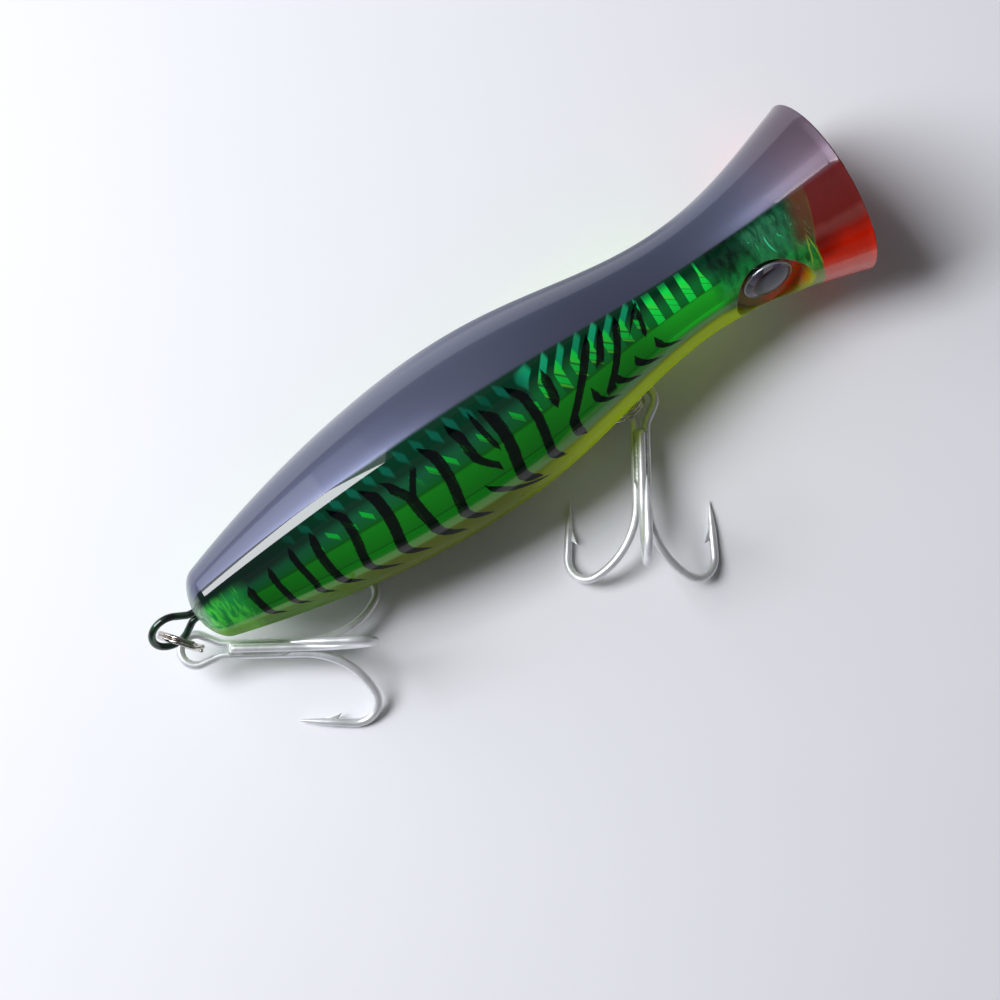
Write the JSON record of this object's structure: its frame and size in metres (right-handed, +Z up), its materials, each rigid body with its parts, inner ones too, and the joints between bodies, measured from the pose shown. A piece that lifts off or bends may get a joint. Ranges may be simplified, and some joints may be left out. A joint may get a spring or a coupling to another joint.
{
  "type": "topwater popper",
  "caption": "Cupped-face surface fishing lure with a full belly, narrow neck and flared mouth, moulded in two halves, with treble hooks on split rings at belly and tail.",
  "frame": {"origin": "on the surface the lure lies on, under the middle of the whole lure's box", "axes": "+X along the body from the tail to the mouth, +Y towards the left flank, +Z up"},
  "size_m": [0.1293, 0.0555, 0.03],
  "materials": {
    "painted_shell": "clear gloss over paint",
    "foil": "embossed reflective film",
    "eye_print": "printed holographic film",
    "clear_resin": "clear gloss",
    "coated_wire": "glossy clear coat over paint",
    "ballast": "plain",
    "steel_ball": "polished",
    "ring_steel": "polished stainless",
    "tinned_steel": "bright tin, soft sheen"
  },
  "bodies": {
    "body": {"shell_right": "painted_shell", "shell_left": "painted_shell", "foil_right": "foil", "foil_left": "foil", "eye_disc_right": "eye_print", "eye_disc_left": "eye_print", "eye_dome_right": "clear_resin", "eye_dome_left": "clear_resin", "line_tie_wire": "coated_wire", "belly_eye_wire": "coated_wire", "tail_eye_wire": "coated_wire", "belly_weight": "ballast", "tail_weight": "ballast"},
    "belly_ring": {"belly_split_ring": "ring_steel"},
    "belly_treble": {"belly_hook_double": "tinned_steel", "belly_hook_single": "tinned_steel"},
    "tail_ring": {"tail_split_ring": "ring_steel"},
    "tail_treble": {"tail_hook_double": "tinned_steel", "tail_hook_single": "tinned_steel"},
    "rear_ball": {"rattle_ball_rear": "steel_ball"},
    "middle_ball": {"rattle_ball_middle": "steel_ball"},
    "front_ball": {"rattle_ball_front": "steel_ball"}
  },
  "joints": [
    {"name": "belly_ring_swing", "type": "hinge", "parent": "body", "child": "belly_ring", "pos_m": [0.01419, 0.00506, 0.00362], "axis": [-0.5001, -0.4971, -0.7091], "range_deg": [-42, 2]},
    {"name": "belly_treble_swing", "type": "hinge", "parent": "belly_ring", "child": "belly_treble", "pos_m": [0.02215, 0.00325, 0.0038], "axis": [0.0048, 0.5924, -0.8057], "range_deg": [-100, 2]},
    {"name": "tail_ring_swing", "type": "hinge", "parent": "body", "child": "tail_ring", "pos_m": [-0.06102, 0.0111, 0.01225], "axis": [1, 0, 0], "range_deg": [-48, 18]},
    {"name": "tail_treble_swing", "type": "hinge", "parent": "tail_ring", "child": "tail_treble", "pos_m": [-0.0609, 0.01121, 0.00797], "axis": [-0.8867, -0.4622, 0.0155], "range_deg": [-85, 4]},
    {"name": "rear_ball_slide", "type": "slide", "parent": "body", "child": "rear_ball", "axis": [1, 0, 0], "range_m": [-0.003, 0.003]},
    {"name": "middle_ball_slide", "type": "slide", "parent": "body", "child": "middle_ball", "axis": [1, 0, 0], "range_m": [-0.003, 0.003]},
    {"name": "front_ball_slide", "type": "slide", "parent": "body", "child": "front_ball", "axis": [1, 0, 0], "range_m": [-0.003, 0.003]}
  ]
}
